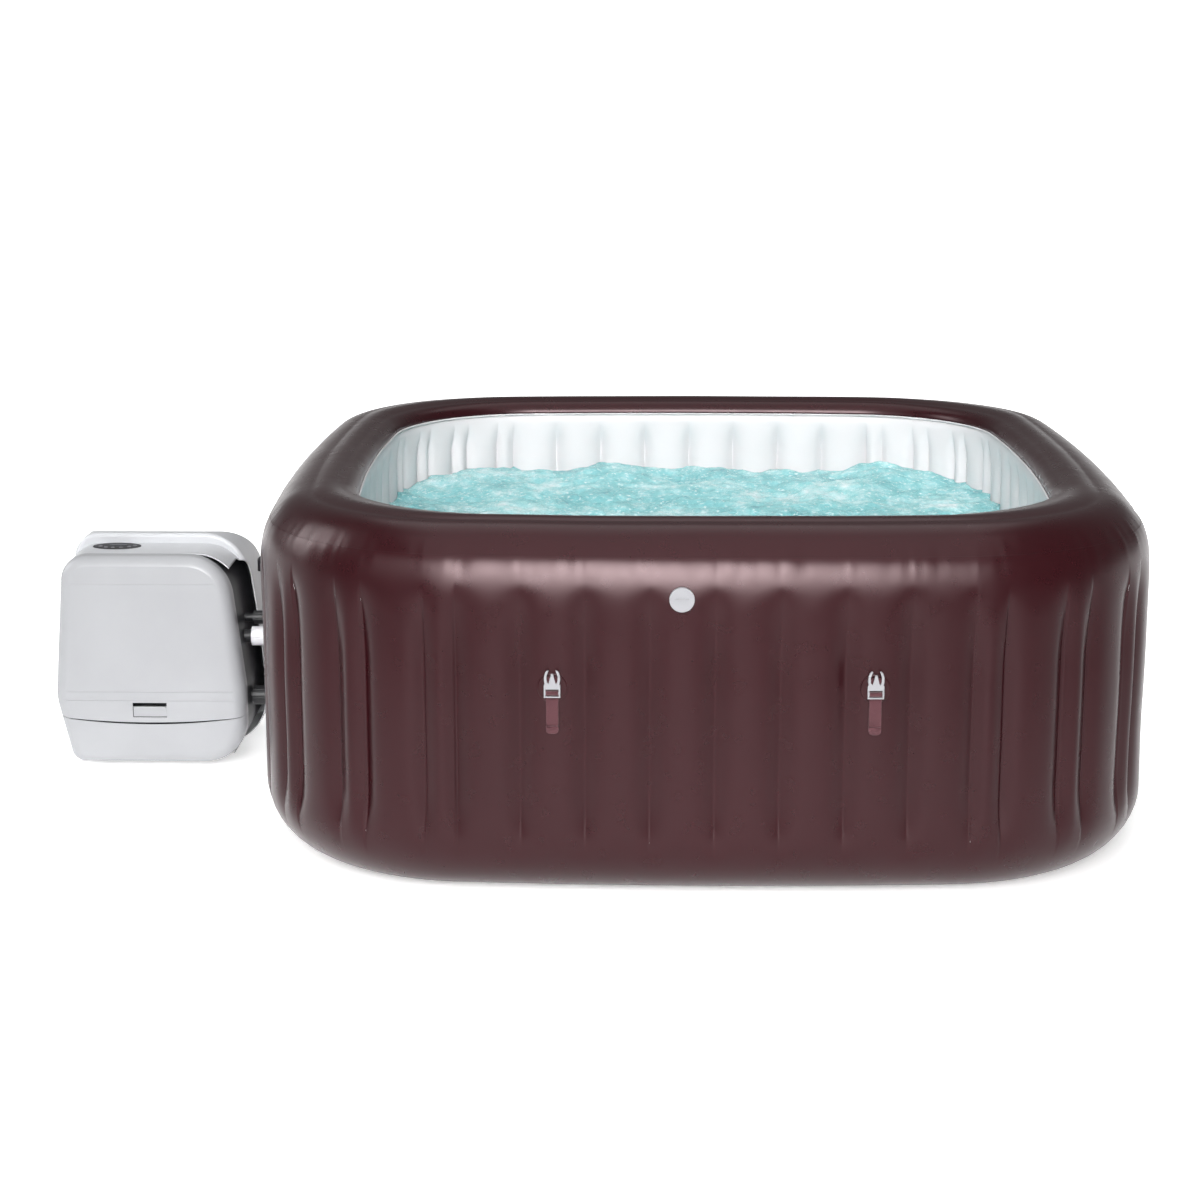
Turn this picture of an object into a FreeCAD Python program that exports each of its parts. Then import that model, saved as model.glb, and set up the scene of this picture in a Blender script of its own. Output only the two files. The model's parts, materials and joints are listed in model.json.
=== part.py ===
"""Inflatable hot tub with its pump unit, as a parametric assembly of separate pieces.

Frame: millimetres, +Z up, origin at the middle of the tub's base on the ground.
The pump unit stands at -X, and the front of the tub faces -Y.
"""
import FreeCAD, Part
import math
import os

import Sketcher
from FreeCAD import Placement, Rotation, Vector

DIMENSIONS = {
    # inflated ring
    "tub_half": 1005, "tub_height": 800, "side_radius": 7500, "corner_radius": 485,
    "top_roll": 120, "base_roll": 150, "skin": 1.5,
    "well_half": 790, "well_side_radius": 6000, "well_corner_radius": 360, "well_roll": 38,
    "outer_seam_z": 740, "inner_seam_z": 762, "base_seam_z": 100,
    "web_low": 117, "web_high": 649, "web_thick": 0.6, "web_gap": 2,
    "wide_panel": 134, "narrow_gap": 65, "wide_gap": 144, "web_shift": 14,
    "well_wide_panel": 121, "well_narrow_gap": 40, "well_wide_gap": 89, "well_web_shift": 6,
    # fittings on the tub
    "valve_x": -56, "valve_z": 660, "valve_radius": 24, "valve_cap_radius": 25.5,
    "buckle_x": 330.5, "buckle_shift": 10.5, "buckle_z": 452, "buckle_width": 34,
    "buckle_depth": 5, "buckle_stand": 8,
    "strap_width": 27, "strap_thick": 1.5, "tail_length": 84, "patch_radius": 30,
    "drain_x": 400, "drain_z": 200, "drain_radius": 22,
    "jet_z": 330, "jet_radius": 20, "jet_flange": 36, "jet_bore": 8,
    # water and air lines between the tub and the pump unit
    "line_y": 75, "upper_line_z": 309, "lower_line_z": 156, "air_line_z": 348, "air_line_y": 112,
    "union_reach": 76, "stub_reach": 136, "water_pipe": 17, "air_pipe": 10, "pipe_wall": 3, "nut_wall": 5,
    "nut_length": 34, "elbow_y": 130, "elbow_z": 490, "elbow_radius": 11, "elbow_drop": 26,
    "elbow_reach": 84,
    "filter_radius": 56, "filter_length": 92, "cartridge_radius": 50, "grille_radius": 42,
    # pump unit
    "pump_left": -1583, "pump_right": -1113, "pump_front": -52, "pump_low": 12, "pump_top": 535,
    "shell_wall": 3, "front_depth": 50, "front_roll": 32, "arch_rise": 24, "arch_front": 125,
    "arch_back": 350, "arch_overhang": 19, "hood_radius": 215, "housing_inset": 9,
    "housing_spread": 8, "smile_z": 119, "smile_radius": 1930, "lip_radius": 1500, "cover_gap": 5,
    "latch_width": 84, "latch_height": 37, "latch_z": 132, "latch_grip": 10, "foot_radius": 22,
    "panel_x": -1440, "panel_y": 84, "panel_long": 60, "panel_short": 38, "button_radius": 5,
    # inside the pump unit, and at its back
    "filter_pump_x": -1450, "filter_pump_y": 90, "filter_pump_z": 120,
    "jet_pump_x": -1265, "jet_pump_y": 80, "jet_pump_z": 130,
    "blower_x": -1420, "blower_y": 110, "blower_z": 350,
    "heater_x": -1190, "heater_y": 105, "heater_z": 270, "heater_radius": 24, "heater_length": 190,
    "board_x": -1350, "board_z": 330, "gland_x": -1500, "gland_z": 70, "gland_radius": 8,
    "lead_radius": 5, "screw_radius": 2,
}


class Size:
    """A number that also carries the spreadsheet expression it comes from."""

    def __init__(self, value, text=None):
        self.value = float(value)
        self.text = text if text is not None else repr(value)

    def _join(self, other, sign, value):
        return Size(value, f"({self.text} {sign} {as_size(other).text})")

    def __add__(self, other):
        return self._join(other, "+", self.value + as_size(other).value)

    def __sub__(self, other):
        return self._join(other, "-", self.value - as_size(other).value)

    def __mul__(self, other):
        return self._join(other, "*", self.value * as_size(other).value)

    def __truediv__(self, other):
        return self._join(other, "/", self.value / as_size(other).value)

    def __radd__(self, other):
        return as_size(other) + self

    def __rsub__(self, other):
        return as_size(other) - self

    def __rmul__(self, other):
        return as_size(other) * self

    def __neg__(self):
        return as_size(0) - self


def as_size(value):
    return value if isinstance(value, Size) else Size(value)


doc = FreeCAD.newDocument("inflatable_hot_tub")
sheet = doc.addObject("Spreadsheet::Sheet", "Sizes")
for row, (alias, number) in enumerate(DIMENSIONS.items(), 1):
    sheet.set(f"A{row}", alias)
    sheet.set(f"B{row}", str(number))
    sheet.setAlias(f"B{row}", alias)
doc.recompute()


def size(alias):
    return Size(DIMENSIONS[alias], f"Sizes.{alias}")


ROTATIONS = {
    "x": Rotation(Vector(0, 1, 0), 90), "y": Rotation(Vector(1, 0, 0), -90), "z": Rotation(),
}
used_names = {}


def fresh(kind, name):
    """Add an object, numbering helper objects that share a name."""
    used_names[name] = used_names.get(name, 0) + 1
    suffix = "" if used_names[name] == 1 else f"_{used_names[name]}"
    return doc.addObject(kind, name + suffix)


def bind(obj, **fields):
    for field, value in fields.items():
        obj.setExpression(field, as_size(value).text)
    return obj


def place(obj, at, rotation=Rotation()):
    """Put an object at a point whose coordinates stay bound to the sheet."""
    at = [as_size(value) for value in at]
    obj.Placement = Placement(Vector(*[value.value for value in at]), rotation)
    for letter, value in zip("xyz", at):
        obj.setExpression(f".Placement.Base.{letter}", value.text)
    return obj


def box(name, at, extent):
    part = bind(fresh("Part::Box", name), Length=extent[0], Width=extent[1], Height=extent[2])
    return place(part, at)


def cylinder(name, at, radius, length, axis="z"):
    part = bind(fresh("Part::Cylinder", name), Radius=radius, Height=length)
    return place(part, at, ROTATIONS[axis])


def ball(name, at, radius):
    return place(bind(fresh("Part::Sphere", name), Radius=radius), at)


def fuse(name, *parts):
    made = fresh("Part::MultiFuse", name)
    made.Shapes = list(parts)
    made.Refine = True
    return made


def group(name, *parts):
    """Several separate solids that share one node."""
    made = fresh("Part::Compound", name)
    made.Links = list(parts)
    return made


def cut(name, base, *tools):
    made = fresh("Part::Cut", name)
    made.Base = base
    made.Tool = tools[0] if len(tools) == 1 else group(name + "_tools", *tools)
    return made


def common(name, first, second):
    made = fresh("Part::Common", name)
    made.Base = first
    made.Tool = second
    return made


def tube(name, at, outer, inner, length, axis="z"):
    rod = cylinder(name + "_rod", at, outer, length, axis)
    bore = cylinder(name + "_bore", at, inner, length, axis)
    return cut(name, rod, bore)


def new_sketch(body, plane):
    sketch = body.newObject("Sketcher::SketchObject", body.Name + "_sketch")
    origin_plane = [item for item in body.Origin.OriginFeatures if item.Role == plane][0]
    sketch.AttachmentSupport = [(origin_plane, "")]
    sketch.MapMode = "FlatFace"
    return sketch


def fix_point(sketch, geometry, end, first, second):
    """Hold one end of a curve at a point bound to the sheet."""
    for kind, value in (("DistanceX", first), ("DistanceY", second)):
        value = as_size(value)
        index = sketch.addConstraint(Sketcher.Constraint(kind, -1, 1, geometry, end, value.value))
        sketch.setExpression(f"Constraints[{index}]", value.text)


def draw_polygon(sketch, points):
    """Closed outline of straight lines, every corner bound to the sheet."""
    start = sketch.GeometryCount
    corners = [Vector(as_size(a).value, as_size(b).value, 0) for a, b in points]
    count = len(points)
    for index in range(count):
        sketch.addGeometry(Part.LineSegment(corners[index], corners[(index + 1) % count]))
    for index in range(count):
        follower = start + (index + 1) % count
        sketch.addConstraint(Sketcher.Constraint("Coincident", start + index, 2, follower, 1))
        fix_point(sketch, start + index, 1, *points[index])


def pad(body, sketch, length, reverse=False):
    made = body.newObject("PartDesign::Pad", body.Name + "_pad")
    made.Profile = sketch
    made.Reversed = reverse
    bind(made, Length=length)
    doc.recompute()
    return made


def round_edges(body, radius, chosen):
    """Fillet the edges of the body's last feature that chosen(edge) picks."""
    base = body.Tip
    names = [f"Edge{i}" for i, edge in enumerate(base.Shape.Edges, 1) if chosen(edge)]
    if not names:
        raise ValueError(f"{body.Name}: no edge to round")
    made = body.newObject("PartDesign::Fillet", body.Name + "_round")
    made.Base = (base, names)
    bind(made, Radius=radius)
    doc.recompute()
    return made


def standing_edge(edge):
    return edge.BoundBox.XLength < 0.01 and edge.BoundBox.YLength < 0.01


def edge_at_height(level):
    return lambda edge: edge.BoundBox.ZLength < 0.01 and abs(edge.BoundBox.ZMin - level) < 0.01


def deep_edge_at(across, up):
    """Edge along Y through the point (across, up) of the XZ plane."""
    def chosen(edge):
        limits = edge.BoundBox
        near = abs(limits.XMin - across) + abs(limits.ZMin - up) < 0.02
        return near and limits.XLength < 0.01 and limits.ZLength < 0.01
    return chosen


# ---------------------------------------------------------------- inflated ring

def draw_bowed_square(body, half, side_radius):
    """Square outline whose four sides are shallow arcs that meet at sharp corners."""
    sketch = new_sketch(body, "XY_Plane")
    reach = side_radius - half
    corner = (-reach.value + math.sqrt(2 * side_radius.value**2 - reach.value**2)) / 2
    spread = math.atan2(corner, corner + reach.value)
    for index in range(4):
        turn = index * math.pi / 2
        centre = Vector(-reach.value * math.cos(turn), -reach.value * math.sin(turn), 0)
        circle = Part.Circle(centre, Vector(0, 0, 1), side_radius.value)
        sketch.addGeometry(Part.ArcOfCircle(circle, turn - spread, turn + spread))
    for index in range(4):
        sketch.addConstraint(Sketcher.Constraint("Coincident", index, 2, (index + 1) % 4, 1))
        across = round(-math.cos(index * math.pi / 2))
        up = round(-math.sin(index * math.pi / 2))
        fix_point(sketch, index, 3, reach * across, reach * up)
        radius = sketch.addConstraint(Sketcher.Constraint("Radius", index, side_radius.value))
        sketch.setExpression(f"Constraints[{radius}]", side_radius.text)
    return sketch


def bowed_square(name, half, side_radius, corner_radius, low, high):
    """Prism on a bowed square with round corners."""
    body = fresh("PartDesign::Body", name)
    pad(body, draw_bowed_square(body, half, side_radius), high - low)
    round_edges(body, corner_radius, standing_edge)
    return place(body, (0, 0, low))


def ring_body(name, inset):
    """The inflated ring's envelope, moved inwards everywhere by inset."""
    body = bowed_square(name, size("tub_half") - inset, size("side_radius") - inset,
                        size("corner_radius") - inset, inset, size("tub_height") - inset)
    height = (size("tub_height") - inset * 2).value
    round_edges(body, size("top_roll") - inset, edge_at_height(height))
    round_edges(body, size("base_roll") - inset, edge_at_height(0))
    well = bowed_square(name + "_well", size("well_half") + inset, size("well_side_radius") + inset,
                        size("well_corner_radius") + inset, Size(-1), size("tub_height") + 1)
    ring = cut(name + "_block", body, well)
    doc.recompute()
    limit = (size("well_half") + inset).value + 1
    top = (size("tub_height") - inset).value
    rounded = fresh("Part::Fillet", name + "_rolled")
    rounded.Base = ring
    radius = sheet.get("well_roll") - inset.value
    rounded.Edges = [
        (index, radius, radius) for index, edge in enumerate(ring.Shape.Edges, 1)
        if edge_at_height(top)(edge) and max(abs(edge.BoundBox.XMax), abs(edge.BoundBox.XMin)) < limit
    ]
    return rounded


def ring_skins():
    """Outer wall, top ring, inner wall and base ring: four sheets cut from one hollow ring."""
    skin = size("skin")
    shell = cut("ring_shell", ring_body("ring", Size(0)), ring_body("ring_air", skin))
    core_grow = size("well_roll") + 10
    core = bowed_square("ring_core", size("well_half") + core_grow,
                        size("well_side_radius") + core_grow,
                        size("well_corner_radius") + core_grow, Size(-5), size("tub_height") + 5)
    width = size("tub_half") * 2 + 20
    corner = -size("tub_half") - 10
    above = box("above_seam", (corner, corner, size("outer_seam_z")), (width, width, 200))
    middle = box("middle_zone", (corner, corner, size("base_seam_z")),
                 (width, width, size("outer_seam_z") - size("base_seam_z")))
    below = box("below_seam", (corner, corner, -5), (width, width, size("base_seam_z") + 5))
    inner_zone = box("inner_zone", (corner, corner, skin), (width, width, size("inner_seam_z") - skin))
    inside = common("inside_core", core, inner_zone)
    line_holes = cylinder_set("line_hole", size("pipe_wall") + 0.5, -size("tub_half") - 20, 260)
    drain_hole = cylinder("drain_hole", (size("drain_x"), size("tub_half") - 40, size("drain_z")),
                          size("drain_radius") - 3, 80, "y")
    valve_hole = cylinder("valve_hole", (size("valve_x"), -size("tub_half") - 20, size("valve_z")),
                          size("valve_radius") - 6, 60, "y")
    cut("outer_wall", cut("outer_band", common("middle_skin", shell, middle), core),
        *line_holes, drain_hole, valve_hole)
    cut("top_ring", common("upper_skin", shell, above), inside)
    jet_holes = [jet_cylinder("jet_hole", side, size("jet_radius") + 6, -12, 24) for side in range(4)]
    cut("inner_wall", common("inner_skin", shell, inside),
        *cylinder_set("inner_line_hole", size("pipe_wall") + 0.5, -size("tub_half") - 20, 260),
        *jet_holes)
    cut("base_ring", common("lower_skin", shell, below), inside)


def floor_sheet():
    bowed_square("floor_sheet", size("well_half") - 0.5, size("well_side_radius"),
                 size("well_corner_radius"), Size(0), size("skin"))


def outline_point(half, side_radius, corner_radius, run):
    """Point at a distance along a bowed square's outline, from the middle of the +X side."""
    reach = side_radius - half
    gap = side_radius - corner_radius
    centre = (-reach + math.sqrt(2 * gap**2 - reach**2)) / 2
    spread = math.atan2(centre, centre + reach)
    side_length = 2 * spread * side_radius
    quarter = side_length + (math.pi / 2 - 2 * spread) * corner_radius
    side, along = divmod(run + side_length / 2, quarter)
    turn = side * math.pi / 2
    if along < side_length:
        angle = turn - spread + along / side_radius
        middle = Vector(-reach * math.cos(turn), -reach * math.sin(turn), 0)
        radius = side_radius
    else:
        angle = turn + spread + (along - side_length) / corner_radius
        diagonal = centre * math.sqrt(2)
        middle = Vector(math.cos(turn + math.pi / 4), math.sin(turn + math.pi / 4), 0) * diagonal
        radius = corner_radius
    return middle + Vector(math.cos(angle), math.sin(angle), 0) * radius


def web_runs(wide_panel, narrow_gap, wide_gap, shift):
    """Distances along the outline: nine webs on each side, six more round each corner."""
    steps = [wide_panel] * 8 + [narrow_gap, wide_gap] * 3 + [narrow_gap]
    runs, run = [], shift - 4 * wide_panel
    for step in steps * 4:
        runs.append(run)
        run += step
    return runs


def web_windows(cell):
    """Clear cylinders round every fitting that passes through the ring."""
    out, well = cell("tub_half") + 10, cell("well_half")
    windows = [Part.makeCylinder(radius.value + 12, 270, Vector(-out, y.value, z.value),
                                 Vector(1, 0, 0)) for label, radius, y, z in line_places()]
    for across, up in ((0, -1), (1, 0), (0, 1), (-1, 0)):
        outwards = Vector(across, up, 0)
        start = outwards * (well - 10) + Vector(0, 0, cell("jet_z"))
        windows.append(Part.makeCylinder(cell("jet_radius") + 12, 60, start, outwards))
    windows.append(Part.makeCylinder(cell("drain_radius") + 6, 80,
                                     Vector(cell("drain_x"), out - 80, cell("drain_z")),
                                     Vector(0, 1, 0)))
    windows.append(Part.makeCylinder(cell("valve_radius") + 4, 60,
                                     Vector(cell("valve_x"), -out, cell("valve_z")),
                                     Vector(0, 1, 0)))
    return windows


def wall_webs():
    """Upright sheets that tie the outer wall to the inner wall, all round the ring."""
    cell = sheet.get
    inset = cell("skin") + cell("web_gap")
    outer_runs = web_runs(*[cell(name) for name in
                            ("wide_panel", "narrow_gap", "wide_gap", "web_shift")])
    inner_runs = web_runs(*[cell("well_" + name) for name in
                            ("wide_panel", "narrow_gap", "wide_gap", "web_shift")])
    windows = web_windows(cell)
    webs = []
    for outer_run, inner_run in zip(outer_runs, inner_runs):
        outer = outline_point(cell("tub_half") - inset, cell("side_radius") - inset,
                              cell("corner_radius") - inset, outer_run)
        inner = outline_point(cell("well_half") + inset, cell("well_side_radius") + inset,
                              cell("well_corner_radius") + inset, inner_run)
        along = outer - inner
        web = Part.makeBox(along.Length, cell("web_thick"), cell("web_high") - cell("web_low"))
        web.Placement = Placement(Vector(inner.x, inner.y, cell("web_low")),
                                  Rotation(Vector(1, 0, 0), along))
        for window in windows:
            if web.BoundBox.intersect(window.BoundBox):
                web = web.cut(window)
        webs.extend(web.Solids)
    made = fresh("Part::Feature", "wall_webs")
    made.Shape = Part.makeCompound(webs)
    made.Placement = Placement()
    return made


# ---------------------------------------------------------------- fittings on the tub

def line_places():
    """Radius and centre (y, z) of each pipe between the pump unit and the tub."""
    return [("upper", size("water_pipe"), size("line_y"), size("upper_line_z")),
            ("lower", size("water_pipe"), size("line_y"), size("lower_line_z")),
            ("air", size("air_pipe"), size("air_line_y"), size("air_line_z"))]


def cylinder_set(name, extra, start, length):
    return [cylinder(f"{name}_{label}", (start, y, z), radius + extra, length, "x")
            for label, radius, y, z in line_places()]


def air_valve():
    flange = cylinder("valve_flange", (size("valve_x"), -size("tub_half") - 2.2, size("valve_z")),
                      size("valve_cap_radius") - 1.5, 2, "y")
    neck = cylinder("valve_neck", (size("valve_x"), -size("tub_half") - 5.2, size("valve_z")),
                    size("valve_radius") - 6.5, 32, "y")
    bore = cylinder("valve_bore", (size("valve_x"), -size("tub_half") - 7, size("valve_z")),
                    size("valve_radius") - 10, 42, "y")
    cut("air_valve_body", fuse("valve_solid", flange, neck), bore)
    front = -size("tub_half") - 11.6
    disc = cylinder("cap_disc", (size("valve_x"), front, size("valve_z")),
                    size("valve_cap_radius"), 9, "y")
    hollow = cylinder("cap_hollow", (size("valve_x"), front + 3, size("valve_z")),
                      size("valve_radius") - 3, 8, "y")
    plug = tube("cap_plug", (size("valve_x"), front + 2.5, size("valve_z")),
                size("valve_radius") - 11.2, size("valve_radius") - 13, 14, "y")
    grip = box("cap_grip", (size("valve_x") - 14, front - 2.5, size("valve_z") - 2), (28, 3, 4))
    fuse("air_valve_cap", cut("cap_shell", disc, hollow), plug, grip)


def turned_place(obj, side, across, out, up):
    """Place a piece made for the front wall on wall 0 to 3, counted round from the front."""
    turn = side * math.pi / 2
    cosine, sine = round(math.cos(turn)), round(math.sin(turn))
    at = (across * cosine - out * sine, across * sine + out * cosine, up)
    return place(obj, at, Rotation(Vector(0, 0, 1), side * 90))


BUCKLE_HALF = [(17, 0), (17, 26), (15, 29), (16.5, 36), (16.2, 46), (13.6, 54), (9.6, 58), (7, 57),
               (9.4, 52), (11.4, 45), (11.2, 36), (9.5, 31), (7, 30), (2, 50)]


def buckle(name):
    """Male half of a side-release buckle, its webbing bar at the bottom."""
    body = fresh("PartDesign::Body", name)
    sketch = new_sketch(body, "XZ_Plane")
    scale = size("buckle_width") / 34
    outline = BUCKLE_HALF + [(-across, up) for across, up in reversed(BUCKLE_HALF)]
    draw_polygon(sketch, [(scale * across, scale * up) for across, up in outline])
    for low, high in ((3, 8), (12, 18)):
        draw_polygon(sketch, [(scale * -13.5, scale * low), (scale * 13.5, scale * low),
                              (scale * 13.5, scale * high), (scale * -13.5, scale * high)])
    pad(body, sketch, size("buckle_depth"))
    front = body.Tip.Shape.BoundBox.YMin
    edge_x = body.Tip.Shape.BoundBox.XMax

    def outer_front(edge):
        flat = edge.BoundBox.YLength < 0.01 and abs(edge.BoundBox.YMin - front) < 0.01
        return flat and edge.BoundBox.XMax > edge_x - 0.01
    round_edges(body, Size(1), outer_front)
    return body


SIDES = ("front", "right", "back", "left")


def cover_clips():
    """On each wall: two buckles on webbing loops, sewn to welded patches."""
    patches, straps = [], []
    wall = -size("tub_half") + size("buckle_x") * size("buckle_x") / (size("side_radius") * 2)
    for side, side_name in enumerate(SIDES):
        for hand, sign in (("a", -1), ("b", 1)):
            across = size("buckle_x") * sign + size("buckle_shift")
            patch = cylinder("patch", (0, 0, 0), size("patch_radius"), 1.2, "y")
            patches.append(turned_place(patch, side, across, wall - 3.2, size("buckle_z") + 18))
            patch.Placement = Placement(patch.Placement.Base,
                                        Rotation(Vector(0, 0, 1), side * 90).multiply(ROTATIONS["y"]))
            straps.append(turned_place(strap(), side, across, wall, size("buckle_z")))
            body = buckle(f"cover_buckle_{side_name}_{hand}")
            turned_place(body, side, across, wall - size("buckle_stand"), size("buckle_z"))
    group("strap_patches", *patches)
    group("cover_straps", *straps)


def strap():
    """Webbing from the patch, through the buckle's two slots and down in a tail."""
    width, thick = size("strap_width") - 2, size("strap_thick")
    half = -width / 2
    reach, rear = size("buckle_stand") + size("buckle_depth") + 3, Size(3.4)
    depth = reach + thick - rear
    root = box("strap_root", (half, -thick - rear, 13), (width, thick, 28))
    through = box("strap_through", (half, -thick - reach, 13), (width, depth, thick))
    front = box("strap_front", (half, -thick - reach, 5.2), (width, thick, 9))
    back = box("strap_back", (half, -thick - reach, 5.2), (width, depth, thick))
    tail = box("strap_tail", (half, -thick - rear, 6 - size("tail_length")),
               (width, thick, size("tail_length")))
    hem = box("strap_hem", (half, -thick * 2 - rear, 6 - size("tail_length")), (width, thick, 16))
    return fuse("strap", root, through, front, back, tail, hem)


def drain_valve():
    out = size("tub_half")
    x, z = size("drain_x"), size("drain_z")
    flange = cylinder("drain_flange", (x, out - 8.6, z), size("drain_radius") + 12, 3, "y")
    spigot = cylinder("drain_spigot", (x, out - 40, z), size("drain_radius") - 4, 56, "y")
    bore = cylinder("drain_bore", (x, out - 42, z), size("drain_radius") - 8, 60, "y")
    cut("drain_valve_body", fuse("drain_solid", flange, spigot), bore)
    cup = cylinder("drain_cup", (x, out - 5.2, z), size("drain_radius") + 1, 26, "y")
    space = cylinder("drain_space", (x, out - 7.2, z), size("drain_radius") - 2.8, 25, "y")
    fuse("drain_cap", cut("drain_cap_shell", cup, space),
         box("drain_grip", (x - 18, out + 20.3, z - 2.5), (36, 5, 5)))


def jet_cylinder(name, side, radius, start, length):
    """Cylinder along a wall's inward normal, measured from the inner wall's face."""
    part = cylinder(name, (0, 0, 0), radius, length, "y")
    turned_place(part, side, Size(0), -size("well_half") + start, size("jet_z"))
    part.Placement = Placement(part.Placement.Base,
                               Rotation(Vector(0, 0, 1), side * 90).multiply(ROTATIONS["y"]))
    return part


def jets():
    """One water jet in each inner wall: a fixed flange and a nozzle that swivels in it."""
    housings = []
    for side, side_name in enumerate(SIDES):
        flange = jet_cylinder("jet_flange", side, size("jet_flange"), 0.3, 5)
        sleeve = jet_cylinder("jet_sleeve", side, size("jet_radius") + 5, -30, 31)
        hollow = jet_cylinder("jet_hollow", side, size("jet_radius") + 1.2, -40, 60)
        housings.append(cut("jet_housing", fuse("jet_solid", flange, sleeve), hollow))
        nozzle = ball("jet_ball", (0, 0, 0), size("jet_radius"))
        turned_place(nozzle, side, Size(0), -size("well_half") - 2, size("jet_z"))
        bore = jet_cylinder("jet_bore", side, size("jet_bore"), -40, 80)
        cut(f"jet_nozzle_{side_name}", nozzle, bore)
    group("jet_housings", *housings)


# ---------------------------------------------------------------- lines between tub and pump

def water_lines():
    """Wall fittings through the ring, their inside nuts, unions and gaskets."""
    fittings, nuts, gaskets, stubs = [], [], [], []
    wall, well = -size("tub_half"), -size("well_half")
    thick = size("pipe_wall")
    for label, radius, y, z in line_places():
        flange = cylinder("fitting_flange", (wall - 4.2, y, z), radius + 16, 4.1, "x")
        reach = size("union_reach")
        pipe = cylinder("fitting_pipe", (wall - reach, y, z), radius, reach + 232, "x")
        bore = cylinder("fitting_bore", (wall - reach - 2, y, z), radius - thick, reach + 236, "x")
        fittings.append(cut("fitting", fuse("fitting_solid", flange, pipe), bore))
        nuts.append(tube("fitting_nut", (well + 2.5, y, z), radius + 9, radius + 0.1, 9, "x"))
        union = tube("union_body", (wall - reach - 28, y, z), radius + size("nut_wall") + 2,
                     radius + 1.2, size("nut_length"), "x")
        grooves = [cylinder("union_groove",
                            (wall - reach - 30, y + (radius + 9) * round(math.cos(turn), 4),
                             z + (radius + 9) * round(math.sin(turn), 4)), 3, 40, "x")
                   for turn in [index * math.pi / 4 for index in range(8)]]
        cut(f"{label}_union_nut", union, *grooves)
        gaskets.append(tube("gasket", (wall - reach - 2.5, y, z), radius - 0.5, radius - thick, 2, "x"))
        stubs.append(tube("stub", (wall - size("stub_reach"), y, z), radius, radius - thick,
                          size("stub_reach") - reach - 2.6, "x"))
    group("wall_fittings", *fittings)
    group("fitting_nuts", *nuts)
    group("union_gaskets", *gaskets)
    group("pump_pipes", *stubs)


def wall_elbow():
    """Small black air elbow high on the tub's wall, beside the pump unit."""
    y, z, radius = size("elbow_y"), size("elbow_z"), size("elbow_radius")
    wall = -size("tub_half") + 1
    reach = size("elbow_reach")
    foot = cylinder("elbow_foot", (wall - 10, y, z), radius + 9, 8, "x")
    spout = cylinder("elbow_spout", (wall - reach, y, z), radius, reach - 8, "x")
    knee = ball("elbow_knee", (wall - reach, y, z), radius)
    drop = cylinder("elbow_drop", (wall - reach, y, z - size("elbow_drop")), radius,
                    size("elbow_drop"))
    fuse("wall_elbow", foot, spout, knee, drop)


def filter_pieces():
    """Inside the tub: cartridge housing on the lower line, grille on the upper line."""
    start = -size("well_half") + 12
    y, low, high = size("line_y"), size("lower_line_z"), size("upper_line_z")
    radius, length, wall = size("filter_radius"), size("filter_length"), size("pipe_wall")
    pot = cylinder("pot", (start, y, low), radius, length, "x")
    pot_hollow = cylinder("pot_hollow", (start + wall, y, low), radius - wall, length - wall * 2, "x")
    slots = [box("pot_slot", (start + 12, y - radius - 4, low - 41 + row * 12),
                 (length - 24, radius * 2 + 8, 5)) for row in range(7)]
    mouth = cylinder("pot_mouth", (start - 2, y, low), size("water_pipe"), 10, "x")
    cut("filter_housing", pot, pot_hollow, mouth, *slots)
    tube("filter_cartridge", (start + wall * 2, y, low), size("cartridge_radius"),
         size("cartridge_radius") - 28, length - 14, "x")
    rim = size("grille_radius")
    disc = cylinder("grille_disc", (start, y, high), rim, 12, "x")
    hollow = cylinder("grille_hollow", (start - 1, y, high), rim - 4, 10, "x")
    bars = [box("grille_slot", (start - 2, y - rim + 12, high - 29 + row * 9), (20, rim * 2 - 24, 4))
            for row in range(7)]
    cut("return_grille", disc, hollow, *bars)


# ---------------------------------------------------------------- pump unit

# Corners of the unit's front view: side, distance in from that side, height, rounding radius.
PUMP_CORNERS = [("left", 38, "low", 36), ("left", 0, 178, 150), ("left", 30, "top", 64),
                ("right", -38, "top", 110), ("right", 0, 205, 140), ("right", 0, "low", 104)]


def pump_outline(inset, rise=Size(0), spread=Size(0)):
    """Corners of the unit's front view with their rounding radii, moved in by inset."""
    edges = {"left": size("pump_left") + inset, "right": size("pump_right") - inset + spread,
             "low": size("pump_low") + inset, "top": size("pump_top") - inset + rise}
    return [(edges[side] + across, edges.get(height) or Size(height), Size(radius) - inset)
            for side, across, height, radius in PUMP_CORNERS]


def pump_prism(name, outline, start, depth):
    """Rounded prism along Y on a six-cornered outline."""
    body = fresh("PartDesign::Body", name)
    sketch = new_sketch(body, "XZ_Plane")
    draw_polygon(sketch, [(across, up) for across, up, radius in outline])
    pad(body, sketch, depth, reverse=True)
    for across, up, radius in outline:
        round_edges(body, radius, deep_edge_at(across.value, up.value))
    return place(body, (0, start, 0))


# Shallow steps across the front face: lower edge, upper edge and depth.
FRONT_BANDS = [(468, 600, 1.4), (174, 179, 1.1), (196, 199, 0.9)]


def front_edge(edge):
    return edge.BoundBox.YMax < 0.01 and edge.BoundBox.YLength < 0.01


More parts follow.
